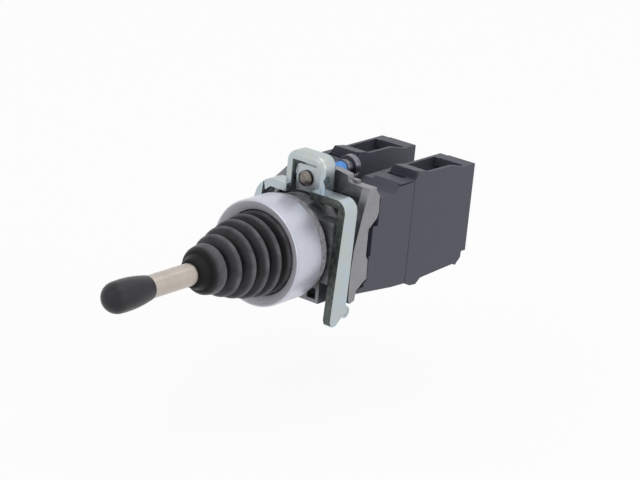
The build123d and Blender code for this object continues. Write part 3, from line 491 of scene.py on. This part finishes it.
# a ball front on a flank that narrows to the rod, and a short sleeve behind it
grip = {
    "ball": 4.1, "centre": -63.6, "arcEnd": 88, "arcSteps": 12,
    "flank": [(4.22, -61.2), (3.95, -57.0), (3.3, -53.2), (3.15, -52.75), (3.05, -52.75), (3.05, -54.0)],
    "flankRounding": {0: (1.7, 6), 1: (1.7, 6), 2: (0.25, 3)},
    "bore": [(2.05, -54.0), (2.05, -62.1), (0, -62.1)],
    "sleeve": [(2.1, -51.6), (3.0, -51.6), (3.0, -53.95), (2.1, -53.95)],
    "steps": 72,
}


def makeGrip():
    arc = []
    for step in range(grip["arcSteps"]):
        turn = math.radians(grip["arcEnd"]) * step / (grip["arcSteps"] - 1)
        arc.append((grip["ball"] * math.sin(turn), grip["centre"] - grip["ball"] * math.cos(turn)))
    rounding = {len(arc) + corner: size for corner, size in grip["flankRounding"].items()}
    bm = turned(arc + grip["flank"] + grip["bore"], grip["steps"], rounding, closed=False)
    dress(newPiece("turnedKnob", bm, sharp=40), "polishedPhenolic", "lever", "knob_plastic", "knob")
    bm = turned(grip["sleeve"], grip["steps"])
    dress(newPiece("rodSleeve", bm, sharp=40), "turnedSteelRod", "lever", "lever_steel")


# keep: the share of its length that a spring has left at full press; towards: its fixed end
springs = {
    "return": {"radius": 1.6, "wire": 0.34, "start": 6.4435, "length": 2.3, "turns": 2,
               "keep": 0.36, "towards": 8.7435},
    "contact": {"radius": 1.3, "wire": 0.34, "start": 27.0, "length": 5.0, "turns": 7,
                "keep": 0.72, "towards": 32.0},
}
# (x, z) of each direction's pusher, on the return spring, and plunger, on the contact spring
pusherPlaces = {"up": (0.0, 6.8), "down": (0.0, -6.8), "left": (-6.8, 0.0), "right": (6.8, 0.0)}
plungerPlaces = {"up": (-10.41, 5.0), "down": (10.41, -5.0), "left": (-10.41, -5.0), "right": (10.41, 5.0)}


def makeSprings():
    for side in pusherPlaces:
        for kind, place in (("return", pusherPlaces[side]), ("contact", plungerPlaces[side])):
            spring = springs[kind]
            bm = coil(spring["radius"], spring["wire"], spring["start"], spring["length"],
                      spring["turns"], place)
            node = f"{side}_{kind}_spring"
            piece = dress(newPiece(node + "_coil", bm, sharp=60), "drawnSpringWire", "housing",
                          "spring_steel", node)
            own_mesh(piece)


# moves: the CAD screw's (radius, depth) rings and where they sit on the real screw; a point
# within near of a ring moves with it, and what lies behind headFrom is the head
screw = {
    "height": 17.2,
    "moves": [((2.0, 9.2), (1.7, 9.2)), ((2.0, 24.0), (1.7, 22.7)), ((2.45, 24.0), (2.2, 22.7)),
              ((2.45, 25.7), (2.2, 24.6)), ((2.0, 25.7), (1.9, 24.6)), ((2.0, 26.2), (1.9, 25.1)),
              ((2.8, 26.2), (3.1, 25.1))],
    "near": 0.08, "headFrom": 28.0, "headShift": -3.0, "headGrowth": 1.107,
    "patch": [(1.72, 16.5), (1.84, 16.6), (1.84, 22.6), (1.72, 22.69)], "patchSteps": 48,
    "ridge": {"radius": 1.99, "wire": 0.42, "start": 16.6, "length": 6.0, "turns": 8, "stepsPerTurn": 24},
}


def slimScrew(bm):
    for vert in bm.verts:
        across, up = vert.co.x / mm, vert.co.z / mm - screw["height"]
        radius, depth = math.hypot(across, up), vert.co.y / mm
        growth = 1.0
        if depth > screw["headFrom"]:
            growth = screw["headGrowth"]
            vert.co.y += screw["headShift"] * mm
        for (fromRadius, fromDepth), (toRadius, toDepth) in screw["moves"]:
            if abs(radius - fromRadius) < screw["near"] and abs(depth - fromDepth) < screw["near"]:
                growth = toRadius / radius
                vert.co.y = toDepth * mm
        vert.co.x = across * growth * mm
        vert.co.z = (screw["height"] + up * growth) * mm


def makeThreadLock():
    ridge = screw["ridge"]
    bm = turned(screw["patch"], screw["patchSteps"])
    bmesh.ops.translate(bm, verts=bm.verts, vec=(0, 0, screw["height"] * mm))
    dress(newPiece("threadLockPatch", bm, sharp=60), "blueThreadLock", "screw", "zinc_steel")
    bm = coil(ridge["radius"], ridge["wire"], ridge["start"], ridge["length"], ridge["turns"],
              (0, screw["height"]), ridge["stepsPerTurn"])
    dress(newPiece("threadRidge", bm, sharp=60), "blueThreadLock", "screw", "zinc_steel")


# the collar's left end slopes down behind the yoke, its nose keeps noseShare of its height past
# noseFrom, and its outer left wall, up to the frame's rear, follows the yoke's leg in
collarShape = {
    "leftFrom": -11.2, "leftTop": 11.6, "leftClear": 0.01,
    "noseFrom": 19.4, "noseShare": 0.15,
    "frameRear": 12.5, "frameLeft": -12.6,
}


def lowerCollar(bm):
    cutAcross(bm, (collarShape["leftFrom"] * mm, 0, 0), (1, 0, 0))
    leftOf = (collarShape["leftFrom"] - collarShape["leftClear"]) * mm
    for vert in bm.verts:
        if vert.co.x < leftOf and vert.co.z > collarShape["leftTop"] * mm:
            vert.co.z = collarShape["leftTop"] * mm
        over = vert.co.z / mm - collarShape["noseFrom"]
        if over > 0:
            vert.co.z -= over * (1 - collarShape["noseShare"]) * mm
        if vert.co.x < collarShape["frameLeft"] * mm and vert.co.y < collarShape["frameRear"] * mm:
            standIn(vert)


# the yoke's left bend is rounded wider, about centre, below top; past its outer end, over run, the
# left leg stands in by inset; the front edges of both legs stand back, those of the left one more
leftFold = {
    "centre": (-9.5, 8.2), "outer": 7.0, "inner": 4.6, "top": 15.3, "innerLeft": -14.2, "innerTop": 13.1,
    "inset": 1.6, "run": 4.0,
    "setback": 1.5, "setbackFrom": 3.7, "setbackTop": 12.0,
    "leftSetback": 2.8, "leftFrom": 4.6, "leftTop": 14.6,
}


def standIn(vert):
    # moves a point of the left leg in, the more the further out it is
    share = min(1.0, (leftFold["centre"][0] - vert.co.x / mm) / leftFold["run"])
    vert.co.x += leftFold["inset"] * share * mm
    return share


def standPinIn(bm):
    for vert in bm.verts:
        if vert.co.x < (leftFold["centre"][0] - leftFold["run"]) * mm:
            standIn(vert)


def widenLeftFold(bm):
    across, up = leftFold["centre"]
    cutAcross(bm, (across * mm, 0, 0), (1, 0, 0))
    cutAcross(bm, (0, 0, up * mm), (0, 0, 1))
    for vert in bm.verts:
        away = Vector((vert.co.x / mm - across, vert.co.z / mm - up))
        if away.x < 0 and away.y > 0 and vert.co.z < leftFold["top"] * mm:
            inner = vert.co.x > leftFold["innerLeft"] * mm and vert.co.z < leftFold["innerTop"] * mm
            reach = leftFold["inner"] if inner else leftFold["outer"]
            if away.length > reach:
                away *= reach / away.length
                vert.co.x, vert.co.z = (across + away.x) * mm, (up + away.y) * mm
    for vert in bm.verts:
        if vert.co.x < across * mm:
            share = standIn(vert)
            front = leftFold["leftFrom"] - vert.co.y / mm
            if front > 0 and vert.co.z < leftFold["leftTop"] * mm:
                vert.co.y += leftFold["leftSetback"] * share * front / leftFold["leftFrom"] * mm
        elif vert.co.y < leftFold["setbackFrom"] * mm and vert.co.z < leftFold["setbackTop"] * mm:
            vert.co.y += leftFold["setback"] * (1 - vert.co.y / mm / leftFold["setbackFrom"]) * mm


# the latch lip's left end leans, a slit shows where the two halves of a block meet, and a
# groove of (depth, height) points runs under the deck's right edge and up behind the lip
block = {
    "lipFoot": 16.3, "lipRear": 38.9, "lipLean": 1.2, "lipEnds": (7.31, -13.51), "lipNear": 0.1,
    "seam": 34.2, "seamNear": 0.02, "slit": 0.16,
    "groove": [(25.9, 15.55), (31.2, 15.6), (33.5, 15.8), (34.6, 16.3), (35.2, 17.2), (35.3, 18.6)],
    "grooveWidth": 0.32, "grooveDepth": 0.9, "cutterOut": 0.5,
    "flat": 0.5, "crisp": 6, "rightWalls": {"left": -4.36, "right": 16.46},
}


def leanLip(bm):
    ends = [vert for vert in bm.verts
            if vert.co.z > block["lipFoot"] * mm and vert.co.y < block["lipRear"] * mm
            and any(abs(vert.co.x / mm - end) < block["lipNear"] for end in block["lipEnds"])]
    bmesh.ops.triangulate(bm, faces=list({face for vert in ends for face in vert.link_faces}))
    for vert in ends:
        vert.co.x += block["lipLean"] * mm


def openSeam(bm):
    for vert in bm.verts:
        if abs(vert.co.y / mm - block["seam"]) < block["seamNear"]:
            vert.co.y += block["slit"] * mm
    leanLip(bm)


def grooveStrip(wall):
    # a bar drawn along the groove, that stands a little out of the wall
    bm = bmesh.new()
    points = [Vector((0, depth, height)) for depth, height in block["groove"]]
    out, inside = block["cutterOut"], -block["grooveDepth"]
    loops = []
    for index, point in enumerate(points):
        along = (points[min(index + 1, len(points) - 1)] - points[max(index - 1, 0)]).normalized()
        aside = Vector((0, -along.z, along.y)) * block["grooveWidth"] / 2
        corners = [bm.verts.new((point + side * aside + Vector((wall + reach, 0, 0))) * mm)
                   for side, reach in ((-1, out), (1, out), (1, inside), (-1, inside))]
        loops.append([bm.edges.new((corners[i - 1], corners[i])) for i in range(len(corners))])
    for first, second in zip(loops, loops[1:]):
        bmesh.ops.bridge_loops(bm, edges=first + second)
    bmesh.ops.holes_fill(bm, edges=loops[0] + loops[-1], sides=0)
    bmesh.ops.recalc_face_normals(bm, faces=bm.faces)
    return bm


def cutGroove(piece, wall):
    # takes the strip out of the block's right wall, and joins the flat faces round the cut again
    cutter = newPiece("grooveCutter", grooveStrip(wall))
    groove = piece.modifiers.new("groove", "BOOLEAN")
    groove.object = cutter
    groove.operation = "DIFFERENCE"
    groove.solver = "EXACT"
    cut = bpy.data.meshes.new_from_object(piece.evaluated_get(bpy.context.evaluated_depsgraph_get()))
    piece.modifiers.clear()
    piece.data = cut
    bpy.data.objects.remove(cutter)
    bm = bmesh.new()
    bm.from_mesh(cut)
    bmesh.ops.remove_doubles(bm, verts=bm.verts, dist=cadCopy["weld"] * mm)
    bmesh.ops.dissolve_limit(bm, angle_limit=math.radians(block["flat"]), use_dissolve_boundaries=False,
                             verts=bm.verts, edges=bm.edges)
    setSharp(bm, block["crisp"])
    bm.to_mesh(cut)
    bm.free()


reshaped = {
    "yoke_pivot_pins": standPinIn,
    "collar_body": lowerCollar,
    "clamp_yoke": widenLeftFold,
    "clamp_screw": slimScrew,
    "left_rear_case": openSeam,
    "right_rear_case": openSeam,
}
# where a node's second finish ends, in mm, and how far a face of it looks to the front
zoneEdges = {
    # the first two bound the collar's painted shade
    "shadeRear": 8.2, "shadeFacing": -0.6,
    "edgeFacing": -0.8, "edgeTop": 7.0, "rightLegFrom": 4.0, "rightLegTop": 15.4,
    "tipRear": 9.0,
}


# painted shade: the collar's front frame and boss, and its faces that look to the front, take the darker
# zinc
def isPaintedShadeFront(spot, facing):
    return spot.y < zoneEdges["shadeRear"] or facing.y < zoneEdges["shadeFacing"]


def isShearedEdge(spot, facing):
    top = zoneEdges["rightLegTop"] if spot.x > zoneEdges["rightLegFrom"] else zoneEdges["edgeTop"]
    return facing.y < zoneEdges["edgeFacing"] and spot.z < top


def isScrewTip(spot, facing):
    return spot.y < zoneEdges["tipRear"]


zones = {
    # painted shade on the collar's front faces
    "collar_body": ("paintedShadeCastZinc", isPaintedShadeFront),
    "clamp_yoke": ("shearedZincEdge", isShearedEdge),
    "clamp_screw": ("burnishedSteel", isScrewTip),
}
# what each CAD node is finished in, and how far its corners are rounded, in mm; None keeps its mesh
nodeFinish = {
    "neck_housing": ("blackPolyamide", None),
    "guide_plate": ("blackPolyamide", None),
    "gimbal_ring": ("turnedSteelRod", None),
    "trunnion_pins": ("turnedSteelRod", None),
    "cross_pin": ("turnedSteelRod", None),
    "lever_rod": ("turnedSteelRod", None),
    "swash_plate": ("turnedSteelRod", None),
    "swash_nut": ("zincPlatedSteel", None),
    "collar_body": ("tumbledDieCastZinc", 0.22),
    "yoke_pivot_pins": ("zincPlatedSteel", 0.1),
    "clamp_yoke": ("zincPlatedSteel", 0.3),
    "clamp_screw": ("passivatedScrewSteel", 0.2),
}
caseRounding = 0.18
for side in pusherPlaces:
    nodeFinish[f"{side}_pusher"] = ("naturalAcetal", None)
    nodeFinish[f"{side}_contact_plunger"] = ("naturalAcetal", None)
    nodeFinish[f"{side}_contact_bridge"] = ("stampedBrass", None)
for hand in ("left", "right"):
    nodeFinish[f"{hand}_front_case"] = ("grainedPolyamide", caseRounding)
    nodeFinish[f"{hand}_rear_case"] = ("grainedPolyamide", caseRounding)
    nodeFinish[f"{hand}_contact_strips"] = ("stampedBrass", None)
    nodeFinish[f"{hand}_wire_clamps"] = ("zincPlatedSteel", None)
    nodeFinish[f"{hand}_terminal_screws"] = ("zincPlatedSteel", None)


def dressNodes():
    for node, (finish, width) in nodeFinish.items():
        if width is None:
            thing = frame["nodes"][node]
            thing.data.materials.clear()
            thing.data.materials.append(finishes[finish])
        else:
            dress(softened(node, width), finish, bodyOfNode[node], slotOfNode[node], node)


for name, look in looks.items():
    makeFinish(name, look)
print("materials:", len(finishes))
setCamera()
setLamps()
setWorld()
setFloor()
bpy.context.scene.view_settings.view_transform = "Standard"
print("studio ready")
makeBezel()
makeSeal()
makeBellows()
makeSprings()
makeGrip()
makeThreadLock()
dressNodes()
